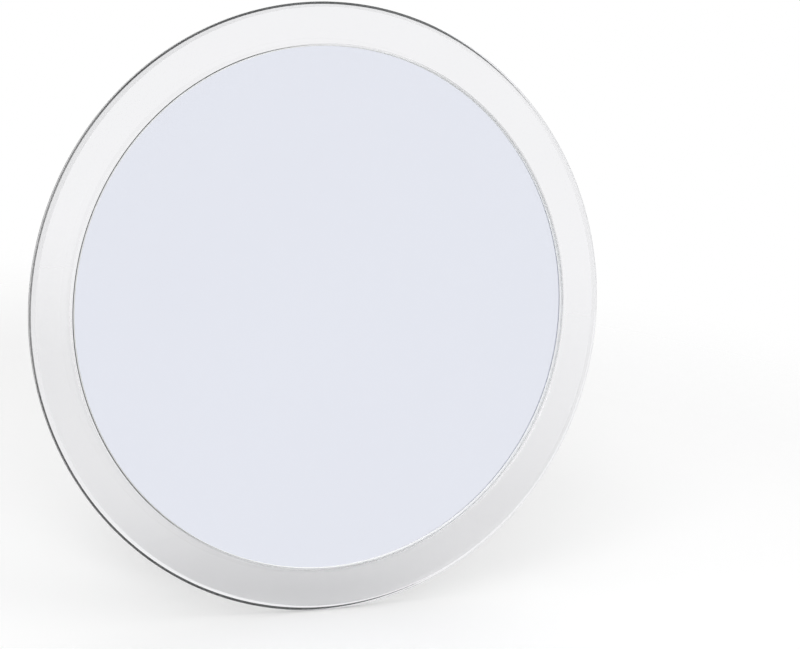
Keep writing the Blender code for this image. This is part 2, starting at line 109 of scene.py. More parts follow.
def rounded(corners, rounds, closed=False):
    """An outline with its corners rounded off. Each corner gives way to an arc about a centre on the corner's
    bisector, and a point just outside each end of the arc keeps the flats beside it flat."""
    corners = np.array(corners, float)
    rounds = np.array(rounds, float)[:, None]
    before = np.roll(corners, 1, axis=0) - corners
    after = np.roll(corners, -1, axis=0) - corners
    before /= np.linalg.norm(before, axis=1, keepdims=True)
    after /= np.linalg.norm(after, axis=1, keepdims=True)
    half = np.arccos(np.clip((before * after).sum(1, keepdims=True), -1, 1)) / 2
    bisector = before + after
    bisector /= np.maximum(np.linalg.norm(bisector, axis=1, keepdims=True), NEARLY_NOTHING)
    reach = rounds / np.tan(half)
    centre = corners + bisector * rounds / np.sin(half)
    start = (corners + before * reach - centre)[:, None]
    end = (corners + after * reach - centre)[:, None]
    turn = (np.pi - 2 * half)[:, None]
    share = np.linspace(0, 1, ROUND_STEPS + 1)[None, :, None]
    swing = np.sin((1 - share) * turn) * start + np.sin(share * turn) * end
    arcs = centre[:, None] + swing / np.maximum(np.sin(turn), NEARLY_NOTHING)
    outside = reach + ROUND_SHOULDER * (rounds > 0)
    first, last = (corners + before * outside)[:, None], (corners + after * outside)[:, None]
    rows = np.concatenate([first, arcs, last], axis=1)
    outline = rows.reshape(-1, 2)
    if not closed:
        outline = np.concatenate([corners[:1], rows[1:-1].reshape(-1, 2), corners[-1:]])
    kept = np.linalg.norm(outline - np.roll(outline, 1, axis=0), axis=1) > MERGE_DISTANCE
    kept[0] |= not closed
    return outline[kept]


def grid_faces(rows, columns, closed_rows=False):
    """Four-sided faces of a grid whose columns run round. A point's number is its row times the columns, plus
    its column."""
    row = np.arange(rows if closed_rows else rows - 1)[:, None]
    column = np.arange(columns)[None, :]
    next_row = (row + 1) % rows
    next_column = (column + 1) % columns
    return np.stack([row * columns + column, next_row * columns + column, next_row * columns + next_column,
                     row * columns + next_column], axis=-1).reshape(-1, 4).tolist()


def turned(outline, steps, closed=False):
    """Points and faces of an outline carried round an axis by an angle a: x = radius cos a, y = -height,
    z = radius sin a."""
    angle = np.linspace(0, 2 * np.pi, steps, endpoint=False)
    radius, height = np.array(outline).T[:, :, None]
    points = np.stack([radius * np.cos(angle), -height + 0 * angle, radius * np.sin(angle)], axis=-1)
    return points.reshape(-1, 3), grid_faces(len(outline), steps, closed)


def copies(shape, places, turns=None):
    """Points and faces of a shape set down at several places (right, up), each turned by t about its own
    axis: x = x cos t - z sin t + right, z = x sin t + z cos t + up."""
    points, faces = shape
    turns = np.zeros(len(places)) if turns is None else np.array(turns)
    cos, sin = np.cos(turns)[:, None], np.sin(turns)[:, None]
    across = points[:, 0] * cos - points[:, 2] * sin + np.array(places)[:, :1]
    upward = points[:, 0] * sin + points[:, 2] * cos + np.array(places)[:, 1:]
    moved = np.stack([across, points[:, 1] + 0 * across, upward], axis=-1).reshape(-1, 3)
    shifted = [[corner + index * len(points) for corner in face]
               for index in range(len(places)) for face in faces]
    return moved, shifted


def piece(name, shape, finishes=(), face_finish=None):
    """An object from points and faces: doubles merged, faces turned outwards, shading split by angle."""
    points, faces = shape
    mesh = bpy.data.meshes.new(name)
    mesh.from_pydata(points.tolist(), [], faces)
    for finish in finishes:
        mesh.materials.append(finish)
    if face_finish is not None:
        mesh.polygons.foreach_set("material_index", np.array(face_finish, np.int32))
    form = bmesh.new()
    form.from_mesh(mesh)
    bmesh.ops.remove_doubles(form, verts=form.verts, dist=MERGE_DISTANCE)
    bmesh.ops.recalc_face_normals(form, faces=form.faces)
    form.to_mesh(mesh)
    form.free()
    mesh.shade_smooth()
    mesh.set_sharp_from_angle(angle=SHARP_ANGLE)
    made = bpy.data.objects.new(name, mesh)
    bpy.context.scene.collection.objects.link(made)
    return made


def worked(body, steps):
    """Joins shapes to a piece or cuts them from it, in the order given, and keeps the result as its mesh."""
    tools = []
    for operation, shape in steps:
        tools.append(piece("tool", shape))
        change = body.modifiers.new("change", "BOOLEAN")
        change.operation = operation
        change.object = tools[-1]
    evaluated = body.evaluated_get(bpy.context.evaluated_depsgraph_get())
    result = bpy.data.meshes.new_from_object(evaluated)
    body.modifiers.clear()
    body.data = result
    for tool in tools:
        bpy.data.objects.remove(tool)
    result.shade_smooth()
    result.set_sharp_from_angle(angle=SHARP_ANGLE)


def around(radius, angles):
    """Places on a circle about the mirror's axis: right = radius cos angle, up = radius sin angle."""
    return np.stack([radius * np.cos(angles), radius * np.sin(angles)], axis=-1)


def node(tree, kind, inputs=(), **settings):
    """A shader node with its settings. Each of its inputs is given a value or another node's output."""
    made = tree.nodes.new(kind)
    for setting, value in settings.items():
        setattr(made, setting, value)
    for socket, value in dict(inputs).items():
        if isinstance(value, bpy.types.NodeSocket):
            tree.links.new(value, made.inputs[socket])
        else:
            made.inputs[socket].default_value = value
    return made


CLOUD_DETAIL = 3.0
CLOUD_LOW = 0.3
CLOUD_HIGH = 0.7
GRAIN_DETAIL = 2.0


def grain_group():
    """A group of two noises in the piece's own metres: a slow one that mixes two colours or levels, and a
    fine one for bumps. It gives the mixed colour, the slow mask and the fine height."""
    tree = bpy.data.node_groups.new("two_scale_grain", "ShaderNodeTree")
    for direction, kind, names in (("INPUT", "NodeSocketColor", ("Tone A", "Tone B")),
                                   ("INPUT", "NodeSocketFloat", ("Cloud Scale", "Grain Scale")),
                                   ("OUTPUT", "NodeSocketColor", ("Colour",)),
                                   ("OUTPUT", "NodeSocketFloat", ("Cloud", "Grain"))):
        for name in names:
            tree.interface.new_socket(name, in_out=direction, socket_type=kind)
    given = node(tree, "NodeGroupInput")
    where = node(tree, "ShaderNodeTexCoord")
    cloud = node(tree, "ShaderNodeTexNoise", {"Vector": where.outputs["Object"], "Detail": CLOUD_DETAIL,
                                              "Scale": given.outputs["Cloud Scale"]})
    spread = node(tree, "ShaderNodeMapRange", {"Value": cloud.outputs["Fac"], "From Min": CLOUD_LOW,
                                               "From Max": CLOUD_HIGH})
    grain = node(tree, "ShaderNodeTexNoise", {"Vector": where.outputs["Object"], "Detail": GRAIN_DETAIL,
                                              "Scale": given.outputs["Grain Scale"]})
    tone = node(tree, "ShaderNodeMix", {"Factor": spread.outputs["Result"], "A": given.outputs["Tone A"],
                                        "B": given.outputs["Tone B"]}, data_type="RGBA")
    node(tree, "NodeGroupOutput", {"Colour": tone.outputs["Result"], "Cloud": spread.outputs["Result"],
                                   "Grain": grain.outputs["Fac"]})
    return tree


two_scale_grain = grain_group()


def finish_of(name, tones, cloud_scale, grain_scale, roughness, bump=0.0, **plain):
    """A material of one Principled shader. Its colour clouds between two tones, its roughness between two
    values, and a fine bump of the given depth lies over it. Plain values go on the shader's own sockets."""
    finish = bpy.data.materials.new(name)
    finish.use_nodes = True
    tree = finish.node_tree
    shader = tree.nodes["Principled BSDF"]
    for socket, value in plain.items():
        shader.inputs[socket.replace("_", " ")].default_value = value
    grain = node(tree, "ShaderNodeGroup", node_tree=two_scale_grain, name="grain")
    for socket, value in (("Tone A", (*tones[0], 1)), ("Tone B", (*tones[1], 1)),
                          ("Cloud Scale", cloud_scale), ("Grain Scale", grain_scale)):
        grain.inputs[socket].default_value = value
    gloss = node(tree, "ShaderNodeMapRange", {"Value": grain.outputs["Cloud"], "To Min": roughness[0],
                                              "To Max": roughness[1]})
    tree.links.new(grain.outputs["Colour"], shader.inputs["Base Color"])
    tree.links.new(gloss.outputs["Result"], shader.inputs["Roughness"])
    if bump:
        relief = node(tree, "ShaderNodeBump", {"Height": grain.outputs["Grain"], "Distance": bump})
        tree.links.new(relief.outputs["Normal"], shader.inputs["Normal"])
    return finish


FACING_ACROSS = 0.3
FACING_ALONG = 0.8


def clear_shadow(finish, shade, edge_shade):
    """Lets light from lamps and from diffuse surfaces straight through a clear finish, dimmed to shade where
    it faces along the mirror's axis and to edge_shade where it faces across it, as on an edge, which bends
    the light away."""
    tree = finish.node_tree
    shader = tree.nodes["Principled BSDF"]
    facing = node(tree, "ShaderNodeTexCoord")
    along = node(tree, "ShaderNodeSeparateXYZ", {"Vector": facing.outputs["Normal"]})
    squareness = node(tree, "ShaderNodeMath", {0: along.outputs["Y"]}, operation="ABSOLUTE")
    dimmed = node(tree, "ShaderNodeMapRange", {"Value": squareness.outputs["Value"],
                                               "From Min": FACING_ACROSS, "From Max": FACING_ALONG,
                                               "To Min": edge_shade, "To Max": shade})
    path = node(tree, "ShaderNodeLightPath")
    straight = node(tree, "ShaderNodeMath", {0: path.outputs["Is Shadow Ray"],
                                             1: path.outputs["Is Diffuse Ray"]}, operation="MAXIMUM")
    through = node(tree, "ShaderNodeBsdfTransparent", {"Color": dimmed.outputs["Result"]})
    mixed = node(tree, "ShaderNodeMixShader", {"Fac": straight.outputs["Value"], 1: shader.outputs["BSDF"],
                                               2: through.outputs["BSDF"]})
    tree.links.new(mixed.outputs["Shader"], tree.nodes["Material Output"].inputs["Surface"])


clear_acrylic = finish_of(
    "clear_acrylic", tones=((0.888, 0.888, 0.903), (0.898, 0.898, 0.913)), cloud_scale=25.0,
    grain_scale=900.0, roughness=(0.0, 0.012), IOR=1.49, Transmission_Weight=1.0)
clear_shadow(clear_acrylic, shade=0.96, edge_shade=0.45)

edge_front = LIP_HEIGHT - BAND_SETBACK
edge_back = edge_front - EDGE_THICKNESS
slope = BAND_SETBACK / (OUTER_RADIUS - EDGE_CHAMFER - POCKET_RADIUS - LIP_ROUND)
back_radii = np.linspace(POCKET_RADIUS - BACK_SLOPE_INSET, LEDGE_INNER_RADIUS, LEDGE_RINGS)
ledge_radii = np.linspace(LEDGE_INNER_RADIUS, POCKET_RADIUS, LEDGE_RINGS)
bezel_corners = np.concatenate([
    [(POCKET_RADIUS, LIP_HEIGHT + slope * LIP_ROUND), (OUTER_RADIUS - EDGE_CHAMFER, edge_front),
     (OUTER_RADIUS, edge_front - EDGE_CHAMFER), (OUTER_RADIUS, edge_back),
     (OUTER_RADIUS - BACK_BEVEL_WIDTH, edge_back - BACK_BEVEL_DEPTH)],
    np.column_stack([back_radii, ledge_top(back_radii) - LEDGE_THICKNESS]),
    np.column_stack([ledge_radii, ledge_top(ledge_radii)])])
plain_rings = [0.0] * (LEDGE_RINGS - 1)
bezel_rounds = [LIP_ROUND] + [POLISHED_ROUND] * 4 + plain_rings + [LEDGE_ROUND] * 2 + plain_rings
post_root = ledge_top(SCREW_CIRCLE_RADIUS) - LEDGE_THICKNESS / 2
pilot_end = ledge_top(SCREW_CIRCLE_RADIUS) - PILOT_ROOF
post_outline = [(0, post_root), (POST_RADIUS, post_root), (POST_RADIUS, POST_END + POST_CHAMFER),
                (POST_RADIUS - POST_CHAMFER, POST_END), (0, POST_END)]
pilot_outline = [(0, pilot_end), (PILOT_RADIUS, pilot_end), (PILOT_RADIUS, POST_END + POST_CHAMFER),
                 (PILOT_RADIUS + POST_CHAMFER, POST_END),
                 (PILOT_RADIUS + POST_CHAMFER, POST_END - CUT_OVERRUN), (0, POST_END - CUT_OVERRUN)]
screw_places = around(SCREW_CIRCLE_RADIUS, SCREW_ANGLES)
bezel_outline = rounded(bezel_corners, bezel_rounds, closed=True)
bezel = piece("clear_bezel_ring", turned(bezel_outline, BEZEL_STEPS, closed=True), [clear_acrylic])
worked(bezel, (("UNION", copies(turned(post_outline, POST_STEPS), screw_places)),
               ("DIFFERENCE", copies(turned(pilot_outline, POST_STEPS), screw_places))))
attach(bezel, "mirror")
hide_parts("clear_bezel")


# Magnifying glass: one round of float glass, bowed so that it's hollow in front, silvered on its back. Its
# ground edge is painted dark on its outer side, as painted shade, and near white on its side within the
# glass, as painted light, so it shows as a dark line from outside and a bright one from within. Both its
# arrises are seamed, which leaves a fine white bevel round the face.
GLASS_SEAM = 0.35 * MM
GLASS_STEPS = 512
GLASS_RINGS = 60
# Near-white painted light for the ground edge's side within the glass, where lamp light falls through the
# face
GROUND_EDGE_PAINTED_LIGHT = (0.97, 0.98, 0.98, 1.0)

float_glass = finish_of(
    "float_glass", tones=((1.0, 1.0, 1.0), (0.995, 0.998, 0.997)), cloud_scale=20.0, grain_scale=900.0,
    roughness=(0.0, 0.004), IOR=1.52, Transmission_Weight=1.0)
clear_shadow(float_glass, shade=0.96, edge_shade=0.6)
# The silver is tinted pale blue and kept below white: a painted reflection of a pale blue room, not silver's
# own colour
silver_painted_reflection = finish_of(
    "silver_painted_reflection", tones=((0.775, 0.795, 0.87), (0.785, 0.805, 0.88)), cloud_scale=12.0, grain_scale=900.0,
    roughness=(0.0, 0.004), Metallic=1.0)
white_seam = finish_of(
    "white_seam", tones=((0.78, 0.79, 0.80), (0.84, 0.85, 0.86)), cloud_scale=400.0, grain_scale=5000.0,
    roughness=(0.45, 0.6), bump=0.02 * MM)
# The ground edge's dark tones are painted shade on its outer side; seen from within the glass it turns to the
# near-white painted light
ground_edge_painted_shade_and_light = finish_of(
    "ground_edge_painted_shade_and_light", tones=((0.09, 0.10, 0.10), (0.12, 0.13, 0.13)), cloud_scale=400.0, grain_scale=5000.0,
    roughness=(0.55, 0.7), bump=0.02 * MM)
edge_tree = ground_edge_painted_shade_and_light.node_tree
edge_grain = edge_tree.nodes["grain"]
edge_side = node(edge_tree, "ShaderNodeNewGeometry")
edge_painted_light_and_shade = node(edge_tree, "ShaderNodeMix", {"Factor": edge_side.outputs["Backfacing"],
                                              "A": edge_grain.outputs["Colour"], "B": GROUND_EDGE_PAINTED_LIGHT},
                 data_type="RGBA")
edge_tree.links.new(edge_painted_light_and_shade.outputs["Result"], edge_tree.nodes["Principled BSDF"].inputs["Base Color"])

glass_rings = np.linspace(0, GLASS_RADIUS - GLASS_SEAM, GLASS_RINGS)
glass_outline = np.concatenate([
    np.column_stack([glass_rings, glass_back(glass_rings) + GLASS_THICKNESS]),
    [(GLASS_RADIUS, glass_back(GLASS_RADIUS) + GLASS_THICKNESS - GLASS_SEAM),
     (GLASS_RADIUS, glass_back(GLASS_RADIUS) + GLASS_SEAM)],
    np.column_stack([glass_rings, glass_back(glass_rings)])[::-1]])
glass_finishes = [float_glass, white_seam, ground_edge_painted_shade_and_light, silver_painted_reflection]
ring_finish = [0] * (GLASS_RINGS - 1) + [1, 2, 2] + [3] * (GLASS_RINGS - 1)
glass = piece("magnifying_glass", turned(glass_outline, GLASS_STEPS), glass_finishes,
              np.repeat(ring_finish, GLASS_STEPS))
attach(glass, "mirror")
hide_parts("mirror_glass")


# Backing paint: the grey coat that keeps the silver from tarnishing, sprayed over the glass's back up to the
# ground edge. It's a skin of its own, so that the silver shows only through the glass.
PAINT_GAP = 0.02 * MM
PAINT_THICKNESS = 0.06 * MM
PAINT_RINGS = 30
PAINT_STEPS = 256

backing_paint = finish_of(
    "backing_paint", tones=((0.115, 0.118, 0.122), (0.135, 0.138, 0.142)), cloud_scale=90.0,
    grain_scale=2600.0, roughness=(0.42, 0.55), bump=0.03 * MM)
paint_rings = np.linspace(0, GLASS_RADIUS - GLASS_SEAM, PAINT_RINGS)
paint_front = np.column_stack([paint_rings, glass_back(paint_rings) - PAINT_GAP])
paint_outline = np.concatenate([paint_front, (paint_front - (0, PAINT_THICKNESS))[::-1]])
paint = piece("glass_backing_paint", turned(paint_outline, PAINT_STEPS), [backing_paint])
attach(paint, "mirror")
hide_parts("mirror_glass")


# Glass tape and centre pad: closed-cell white foam, sticky on both sides. The ring of tape holds the glass on
# the ledge, and the disc backs the middle of the glass. Both are pressed, so their sides bulge a little.
tape_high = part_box("glass_tape")[1]
pad_low, pad_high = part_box("centre_pad")
TAPE_OUTER_RADIUS = tape_high.x
TAPE_WIDTH = 7.0 * MM
TAPE_THICKNESS = 0.8 * MM
TAPE_GAP = 0.3 * MM
TAPE_FILL = 1.0
PAD_RADIUS = pad_high.x
PAD_FRONT = -pad_low.y
PAD_BACK = -pad_high.y
PAD_FILL = 0.9
FOAM_BULGE = 0.25 * MM
FOAM_CELL_SCALE = 2200.0
FOAM_CELL_DEPTH = 0.12 * MM
BULGE_STEPS = 6
TAPE_STEPS = 360
PAD_STEPS = 96

white_foam = finish_of(
    "white_foam", tones=((0.84, 0.84, 0.83), (0.88, 0.88, 0.87)), cloud_scale=300.0, grain_scale=4000.0,
    roughness=(0.85, 0.95))
foam_tree = white_foam.node_tree
foam_place = node(foam_tree, "ShaderNodeTexCoord")
foam_cells = node(foam_tree, "ShaderNodeTexVoronoi", {"Vector": foam_place.outputs["Object"],
                                                      "Scale": FOAM_CELL_SCALE})
foam_relief = node(foam_tree, "ShaderNodeBump", {"Height": foam_cells.outputs["Distance"],
                                                 "Distance": FOAM_CELL_DEPTH})
foam_tree.links.new(foam_relief.outputs["Normal"], foam_tree.nodes["Principled BSDF"].inputs["Normal"])


def bulging(radius_of_flat, low, high, outwards):
    """A pressed side between two heights. It stands out by the bulge times 1 - (2 share - 1) squared."""
    share = np.linspace(0, 1, BULGE_STEPS + 1)
    swell = FOAM_BULGE * (1 - (2 * share - 1) ** 2)
    return np.column_stack([radius_of_flat + outwards * swell, low + (high - low) * share])


tape_outer = TAPE_OUTER_RADIUS - FOAM_BULGE
tape_inner = TAPE_OUTER_RADIUS - TAPE_WIDTH + FOAM_BULGE
outer_top = glass_back(tape_outer) - TAPE_GAP
inner_top = glass_back(tape_inner) - TAPE_GAP
tape_outline = np.concatenate([bulging(tape_outer, outer_top, outer_top - TAPE_THICKNESS, 1),
                               bulging(tape_inner, inner_top - TAPE_THICKNESS, inner_top, -1)])
tape = piece("foam_tape_ring", turned(tape_outline, TAPE_STEPS, closed=True), [white_foam])
pad_side = bulging(PAD_RADIUS - FOAM_BULGE, PAD_FRONT, PAD_BACK, 1)
pad_outline = np.concatenate([[(0, PAD_FRONT)], pad_side, [(0, PAD_BACK)]])
pad = piece("foam_centre_pad", turned(pad_outline, PAD_STEPS), [white_foam])
for foam, stands_for, fill in ((tape, "glass_tape", TAPE_FILL), (pad, "centre_pad", PAD_FILL)):
    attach(foam, "mirror")
    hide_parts(stands_for)


# Rear cover: a shallow dish injection-moulded in white plastic, with three raised seats that have keyholes
# for the cups' heads, guides and ribs inside, and six counterbored bosses that the screws draw up to the
# posts.
cover_low, cover_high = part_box("rear_cover")
COVER_RADIUS = cover_high.x
SEAT_FACE = -cover_high.y
COVER_RIM = -cover_low.y
COVER_FLOOR = 2.0 * MM
COVER_WALL = 2.0 * MM
COVER_FILLET = 2.6 * MM
COVER_DRAFT = 0.5 * MM
RIM_ROUND = 0.5 * MM
SEAT_PAD_RISE = 0.9 * MM
SEAT_PAD_RADIUS = 14.5 * MM
SEAT_PAD_DRAFT = 0.6 * MM
SEAT_PAD_ROUND = 0.35 * MM
CUP_CIRCLE_RADIUS = 48.0 * MM
CUP_ANGLES = np.radians([90.0, 210.0, 330.0])
KEYHOLE_TRAVEL = 9.5 * MM
SLOT_RADIUS = 3.5 * MM
MOUTH_RADIUS = 6.4 * MM
HEAD_POCKET_RADIUS = 6.6 * MM
GUIDE_WALL = 1.4 * MM
GUIDE_RISE = 3.1 * MM
HOLE_CHAMFER = 0.3 * MM
BOSS_RADIUS = 4.2 * MM
BOSS_TOP = 17.1 * MM
COUNTERBORE_RADIUS = 3.2 * MM
SCREW_SEAT = 15.1 * MM
RIB_WIDTH = 1.4 * MM
RIB_TOP = 16.9 * MM
PAD_RING_RADIUS = 15.25 * MM
PAD_RING_WALL = 1.2 * MM
PAD_RING_TOP = 16.7 * MM
GATE_RADIUS = 2.4 * MM
GATE_DEPTH = 0.4 * MM
GATE_STUB_RADIUS = 0.7 * MM
COVER_STEPS = 256
SLOT_STEPS = 24
SEAT_PAD_STEPS = 96
COVER_BACK = SEAT_FACE + SEAT_PAD_RISE
COVER_INSIDE = COVER_BACK + COVER_FLOOR
HEAD_SEAT = SEAT_FACE + COVER_FLOOR
COVER_ROOT = COVER_BACK + COVER_FLOOR / 2

white_plastic = finish_of(
    "white_plastic", tones=((0.83, 0.84, 0.85), (0.86, 0.87, 0.88)), cloud_scale=45.0, grain_scale=2600.0,
    roughness=(0.32, 0.42), bump=0.02 * MM)


def lofted(rings, heights):
    """Points and faces of a closed block through flat rings of (right, up), one ring at each height."""
    rings = np.array(rings)
    depth = 0 * rings[..., 0] - np.array(heights)[:, None]
    points = np.stack([rings[..., 0], depth, rings[..., 1]], axis=-1).reshape(-1, 3)
    count = rings.shape[1]
    near_end = list(range(count))
    far_end = list(range(len(points) - 1, len(points) - count - 1, -1))
    return points, grid_faces(len(rings), count) + [near_end, far_end]


def keyhole_ring(grow):
    """A keyhole's outline, a given distance outside its walls: a half circle about the slot's upper end, two
    straight sides, and the mouth's circle, which they meet at the arc cosine of slot over mouth."""
    slot, mouth = SLOT_RADIUS + grow, MOUTH_RADIUS + grow
    meet = np.arccos(slot / mouth)
    upper = around(slot, np.linspace(0, np.pi, SLOT_STEPS))
    lower = around(mouth, np.linspace(np.pi - meet, 2 * np.pi + meet, 2 * SLOT_STEPS))
    return np.concatenate([upper, lower - (0, KEYHOLE_TRAVEL)])


def slot_ring(radius):
    """A round-ended outline as long as the keyhole: a half circle about the seat's middle, and its opposite
    half as far below as the cup travels."""
    upper = around(radius, np.linspace(0, np.pi, SLOT_STEPS))
    return np.concatenate([upper, -upper - (0, KEYHOLE_TRAVEL)])


def bar_ring(start, end):
    """The outline of a rib's straight bar along a radius, between two radii."""
    half = RIB_WIDTH / 2
    return np.array([(start, -half), (end, -half), (end, half), (start, half)])


seat_places = around(CUP_CIRCLE_RADIUS, CUP_ANGLES)
pad_places = seat_places - (0, KEYHOLE_TRAVEL / 2)
inner_foot = COVER_RADIUS - COVER_WALL - COVER_DRAFT
stub_end = COVER_BACK + GATE_DEPTH / 2
cover_corners = [
    (0, COVER_INSIDE), (inner_foot, COVER_INSIDE), (COVER_RADIUS - COVER_WALL, COVER_RIM),
    (COVER_RADIUS, COVER_RIM), (COVER_RADIUS - COVER_DRAFT, COVER_BACK), (GATE_RADIUS, COVER_BACK),
    (GATE_RADIUS, COVER_BACK + GATE_DEPTH), (GATE_STUB_RADIUS, COVER_BACK + GATE_DEPTH),
    (GATE_STUB_RADIUS, stub_end), (0, stub_end)]
cover_rounds = [0, COVER_FILLET - COVER_WALL / 2, RIM_ROUND, RIM_ROUND, COVER_FILLET, GATE_DEPTH / 3,
                GATE_DEPTH / 3, GATE_DEPTH / 4, GATE_DEPTH / 6, 0]
seat_pad_corners = [(0, COVER_ROOT), (SEAT_PAD_RADIUS, COVER_ROOT),
                    (SEAT_PAD_RADIUS - SEAT_PAD_DRAFT, SEAT_FACE), (0, SEAT_FACE)]
seat_pad = turned(rounded(seat_pad_corners, [0, 0, SEAT_PAD_ROUND, 0]), SEAT_PAD_STEPS)
guide_top = HEAD_SEAT + GUIDE_RISE
guide = lofted([slot_ring(HEAD_POCKET_RADIUS + GUIDE_WALL)] * 2, [COVER_ROOT, guide_top])
boss = turned([(0, BOSS_TOP), (BOSS_RADIUS, BOSS_TOP), (BOSS_RADIUS, COVER_ROOT), (0, COVER_ROOT)],
              POST_STEPS)
ring_inner = PAD_RING_RADIUS - PAD_RING_WALL
pad_ring = turned([(ring_inner, PAD_RING_TOP), (PAD_RING_RADIUS, PAD_RING_TOP), (PAD_RING_RADIUS, COVER_ROOT),
                   (ring_inner, COVER_ROOT)], SEAT_PAD_STEPS, closed=True)
rib_end = SCREW_CIRCLE_RADIUS - BOSS_RADIUS / 2
long_rib, short_rib = [lofted([bar_ring(rib_start, rib_end)] * 2, [COVER_ROOT, RIB_TOP])
                       for rib_start in (PAD_RING_RADIUS - PAD_RING_WALL / 2,
                                         CUP_CIRCLE_RADIUS + HEAD_POCKET_RADIUS)]
head_pocket = lofted([slot_ring(HEAD_POCKET_RADIUS)] * 2, [HEAD_SEAT, guide_top + CUT_OVERRUN])
keyhole = lofted([keyhole_ring(HOLE_CHAMFER), keyhole_ring(HOLE_CHAMFER), keyhole_ring(0), keyhole_ring(0)],
                 [SEAT_FACE - CUT_OVERRUN, SEAT_FACE, SEAT_FACE + HOLE_CHAMFER, HEAD_SEAT + CUT_OVERRUN])
bore_mouth = COUNTERBORE_RADIUS + HOLE_CHAMFER
below_back = COVER_BACK - CUT_OVERRUN
bore = turned([(0, SCREW_SEAT), (COUNTERBORE_RADIUS, SCREW_SEAT),
               (COUNTERBORE_RADIUS, COVER_BACK + HOLE_CHAMFER), (bore_mouth, COVER_BACK),
               (bore_mouth, below_back), (0, below_back)], POST_STEPS)
screw_hole = turned([(0, BOSS_TOP + CUT_OVERRUN), (PILOT_RADIUS, BOSS_TOP + CUT_OVERRUN),
                     (PILOT_RADIUS, below_back), (0, below_back)], POST_STEPS)
centre = [(0.0, 0.0)]
cover_outline = rounded(cover_corners, cover_rounds)
cover = piece("moulded_rear_cover", turned(cover_outline, COVER_STEPS), [white_plastic])
worked(cover, (
    ("UNION", copies(pad_ring, centre)), ("UNION", copies(seat_pad, pad_places)),
    ("UNION", copies(guide, seat_places)), ("UNION", copies(boss, screw_places)),
    ("UNION", copies(long_rib, centre * 3, SCREW_ANGLES[::2])),
    ("UNION", copies(short_rib, centre * 3, CUP_ANGLES)),
    ("DIFFERENCE", copies(head_pocket, seat_places)), ("DIFFERENCE", copies(keyhole, seat_places)),
    ("DIFFERENCE", copies(bore, screw_places)), ("DIFFERENCE", copies(screw_hole, screw_places))))
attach(cover, "mirror")
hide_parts("rear_cover")


# Cover screws: six self-tapping pan-head screws, zinc-plated steel, driven from the wall side through the
# cover into the bezel's posts. Each has a tapered cross recess and a coarse helical thread.
SCREW_RADIUS = 1.3 * MM
SCREW_CORE_RADIUS = 0.95 * MM
SCREW_PITCH = 1.0 * MM
SCREW_TIP = 19.9 * MM
SCREW_POINT = 0.9 * MM
SCREW_HEAD_RADIUS = 2.7 * MM
SCREW_HEAD_HEIGHT = 1.5 * MM
SCREW_HEAD_ROUND = SCREW_HEAD_HEIGHT * 0.6
SCREW_HEAD_RIM_ROUND = 0.1 * MM
SCREW_HEAD_GAP = 0.3 * MM
CROSS_LENGTH = 2.8 * MM
CROSS_WIDTH = 0.75 * MM
CROSS_DEPTH = 1.0 * MM
CROSS_TAPER = 0.55
SCREW_STEPS = 32
THREAD_ROWS_PER_TURN = 12
THREAD_STEEPNESS = 1.6
THREAD_ROOT = 0.6

zinc_plate = finish_of(
    "zinc_plate", tones=((0.56, 0.57, 0.60), (0.66, 0.67, 0.69)), cloud_scale=900.0, grain_scale=6000.0,
    roughness=(0.22, 0.38), bump=0.01 * MM, Metallic=1.0)

head_seat_height = SCREW_SEAT - SCREW_HEAD_GAP
head_top = head_seat_height - SCREW_HEAD_HEIGHT
head_outline = rounded([(0, head_top), (SCREW_HEAD_RADIUS, head_top), (SCREW_HEAD_RADIUS, head_seat_height),
                        (SCREW_CORE_RADIUS, head_seat_height)],
                       [0, SCREW_HEAD_ROUND, SCREW_HEAD_RIM_ROUND, 0])
thread_rows = int((SCREW_TIP - head_seat_height) / SCREW_PITCH * THREAD_ROWS_PER_TURN)
thread_height = np.linspace(head_seat_height, SCREW_TIP, thread_rows)[1:, None]
screw_angle = np.linspace(0, 2 * np.pi, SCREW_STEPS, endpoint=False)[None, :]

# The thread stands off its core by a share: the steepness times |2 phase - 1|, less the root, kept in 0 to 1
phase = ((thread_height - head_seat_height) / SCREW_PITCH - screw_angle / (2 * np.pi)) % 1.0
ridge = np.clip(THREAD_STEEPNESS * np.abs(2 * phase - 1) - THREAD_ROOT, 0, 1)
point_share = np.clip((SCREW_TIP - thread_height) / SCREW_POINT, 0, 1)
thread_radius = (SCREW_CORE_RADIUS + (SCREW_RADIUS - SCREW_CORE_RADIUS) * ridge) * point_share
screw_radius = np.concatenate([np.repeat(head_outline[:, :1], SCREW_STEPS, axis=1), thread_radius])
screw_height = np.concatenate([head_outline[:, 1:], thread_height]) + 0 * screw_angle
screw_points = np.stack([screw_radius * np.cos(screw_angle), -screw_height,
                         screw_radius * np.sin(screw_angle)], axis=-1)
screw_shape = (screw_points.reshape(-1, 3), grid_faces(len(screw_radius), SCREW_STEPS))


def cross_ring(share):
    """The outline of the cross recess, drawn in to a share of its size: twelve corners of a plus sign."""
    long, short = CROSS_LENGTH / 2 * share, CROSS_WIDTH / 2 * share
    return np.array([(long, -short), (long, short), (short, short), (short, long), (-short, long),
                     (-short, short), (-long, short), (-long, -short), (-short, -short), (-short, -long),
                     (short, -long), (short, -short)])


pattern = piece("screw_pattern", screw_shape, [zinc_plate])
recess = lofted([cross_ring(1.0), cross_ring(1.0), cross_ring(CROSS_TAPER)],
                [head_top - CUT_OVERRUN, head_top, head_top + CROSS_DEPTH])
worked(pattern, [("DIFFERENCE", recess)])
pattern_points = np.empty(len(pattern.data.vertices) * 3)
pattern.data.vertices.foreach_get("co", pattern_points)
pattern_shape = (pattern_points.reshape(-1, 3), [list(face.vertices) for face in pattern.data.polygons])
bpy.data.objects.remove(pattern)
for number, (place, angle) in enumerate(zip(screw_places, SCREW_ANGLES), start=1):
    screw = piece(f"pan_head_screw_{number}", copies(pattern_shape, [place], [angle]), [zinc_plate])
    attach(screw, "mirror")
    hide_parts(f"cover_screw_{number}")


